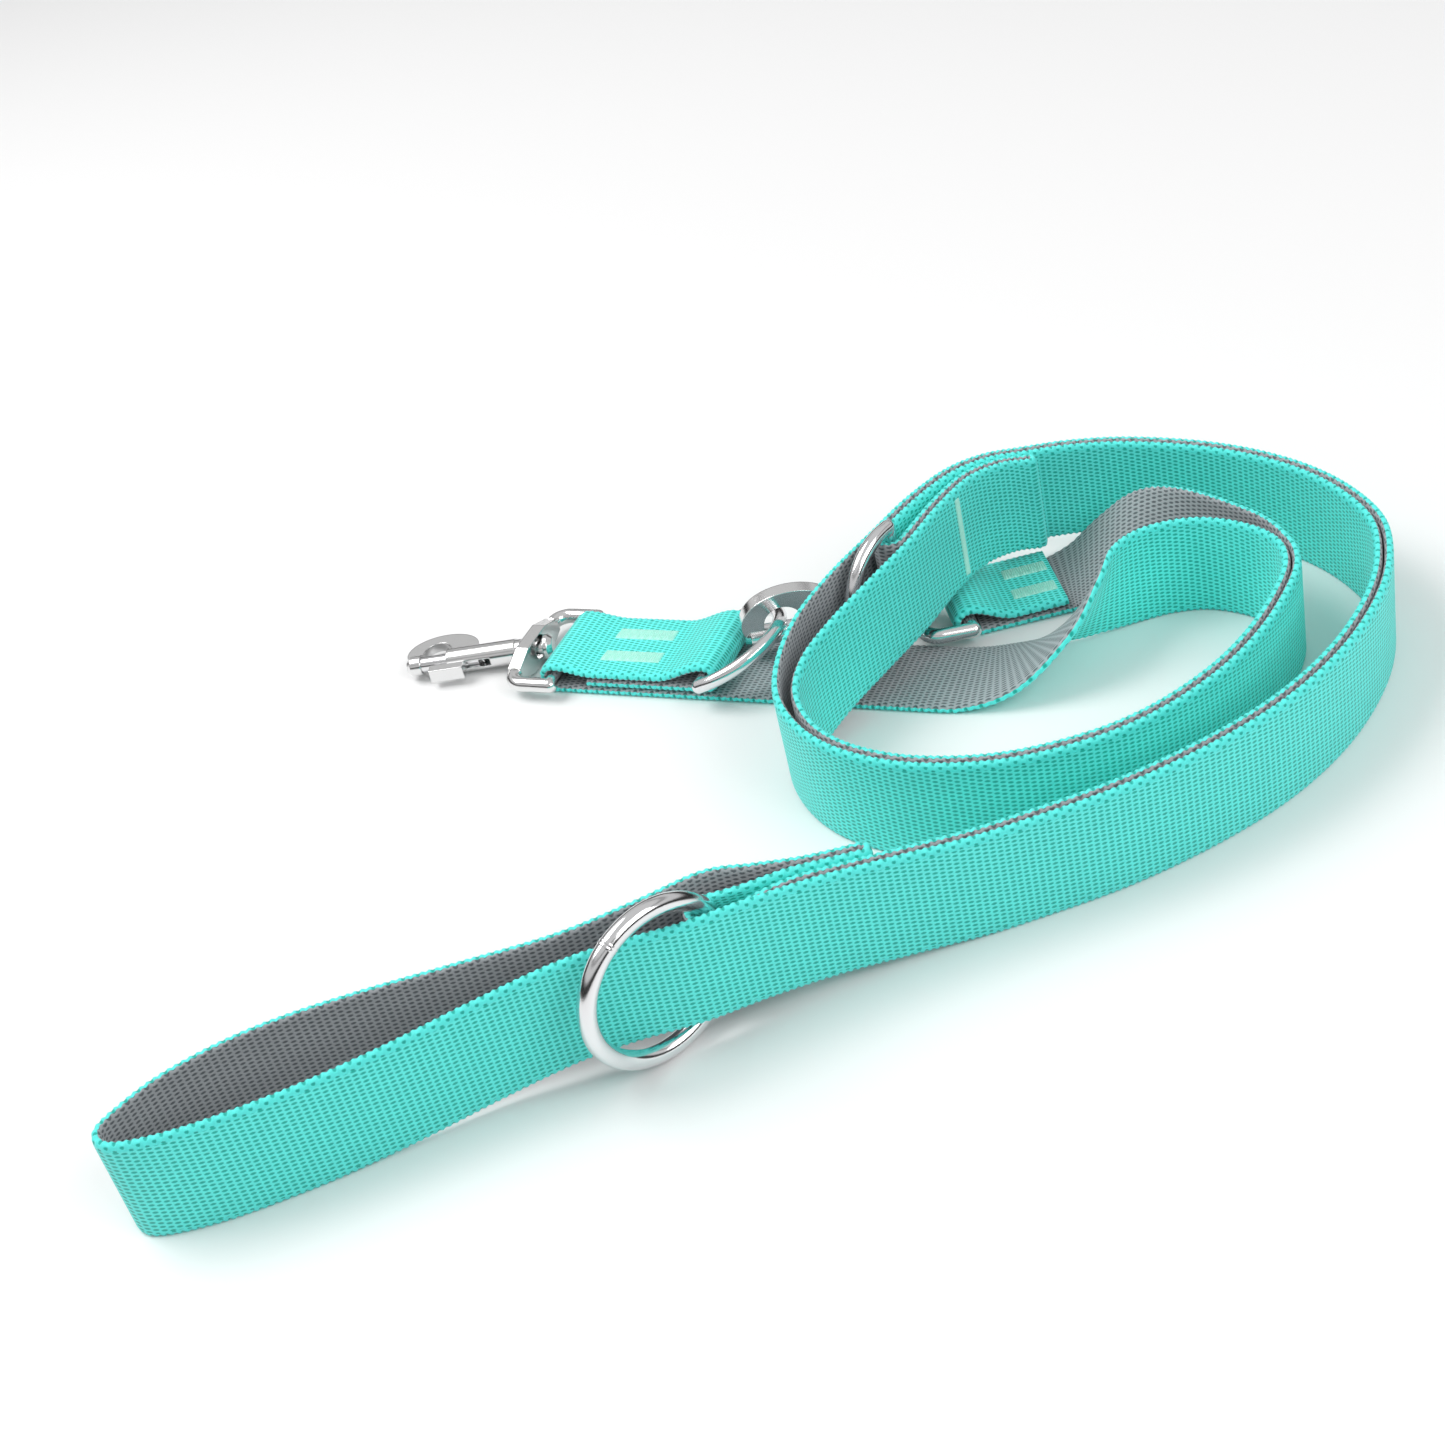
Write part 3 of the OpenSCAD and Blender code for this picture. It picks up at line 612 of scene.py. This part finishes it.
# Butt weld of the O-ring: the wire's two ends meet at its upper left, and a low bead is left round the
# joint.
weld_at = math.radians(118)
ring_centre = Vector((-35, -73.2, o_ring_z))
wire_r = o_wire / 2
bead_verts = []
bead_faces = []
profile = [(-0.8, -0.06), (-0.5, 0.06), (-0.16, 0.14), (0.0, -0.04)]
profile += [(0.16, 0.14), (0.5, 0.06), (0.8, -0.06)]
around = 40
for run, proud in profile:
    a = weld_at + run / o_ring_r
    outward = o_ring_dir * math.cos(a) + up * math.sin(a)
    sideways = left_of(o_ring_dir)
    for k in range(around):
        b = 2 * math.pi * k / around
        rim_at = ring_centre + outward * (o_ring_r + (wire_r + proud) * math.cos(b))
        rim_at += sideways * ((wire_r + proud) * math.sin(b))
        bead_verts.append(tuple((rim_at + fold_shift) * MM))
for j in range(len(profile) - 1):
    for k in range(around):
        n = (k + 1) % around
        bead_faces.append((j * around + k, j * around + n, (j + 1) * around + n, (j + 1) * around + k))
bead_mesh = bpy.data.meshes.new("o_ring_weld")
bead_mesh.from_pydata(bead_verts, [], bead_faces)
bead_mesh.shade_smooth()
bead_mesh.materials.append(wire_chrome)
bead = bpy.data.objects.new("o_ring_weld", bead_mesh)
scene.collection.objects.link(bead)
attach(bead, "o_ring")

# Table top and light: a white table that runs out of sight, under broad soft lamps and a bright room.
bpy.ops.mesh.primitive_plane_add(size=8, location=(0, 0, 0))
table_top = bpy.context.object
table_top.name = "table_top"
table_white = bpy.data.materials.new("table_white")
table_white.use_nodes = True
table_white.node_tree.nodes["Principled BSDF"].inputs["Base Color"].default_value = (0.88, 0.88, 0.88, 1)
table_white.node_tree.nodes["Principled BSDF"].inputs["Roughness"].default_value = 0.6
table_top.data.materials.append(table_white)
room = bpy.data.worlds.new("bright_room")
room.use_nodes = True
sky = room.node_tree.nodes["Background"]
sky.inputs["Strength"].default_value = 0.66
toward = room.node_tree.nodes.new("ShaderNodeTexCoord")
height_of = room.node_tree.nodes.new("ShaderNodeSeparateXYZ")
walls = room.node_tree.nodes.new("ShaderNodeValToRGB")
room.node_tree.links.new(toward.outputs["Generated"], height_of.inputs[0])
room.node_tree.links.new(height_of.outputs["Z"], walls.inputs[0])
room.node_tree.links.new(walls.outputs["Color"], sky.inputs["Color"])
wall_stops = [(0.0, 0.25), (0.1, 0.03), (0.24, 0.06), (0.35, 0.95)]
wall_stops += [(0.55, 1), (0.62, 0.35), (0.72, 1), (1, 1)]
for stop, (place, grey) in enumerate(wall_stops):
    if stop < 2:
        element = walls.color_ramp.elements[stop]
        element.position = place
    else:
        element = walls.color_ramp.elements.new(place)
    element.color = (grey, grey, grey, 1)
scene.world = room


def lamp(name, at, size, power):
    """A square soft box that faces the middle of the coil."""
    light = bpy.data.lights.new(name, "AREA")
    light.size = size
    light.energy = power
    lamp_object = bpy.data.objects.new(name, light)
    lamp_object.location = at
    lamp_object.rotation_euler = (Vector(at) * -1).to_track_quat("-Z", "Y").to_euler()
    scene.collection.objects.link(lamp_object)


lamp("lamp_over_left", (-0.7, 0.3, 1.1), 0.8, 11)
lamp("lamp_front_right", (0.8, -0.8, 0.9), 0.9, 8)
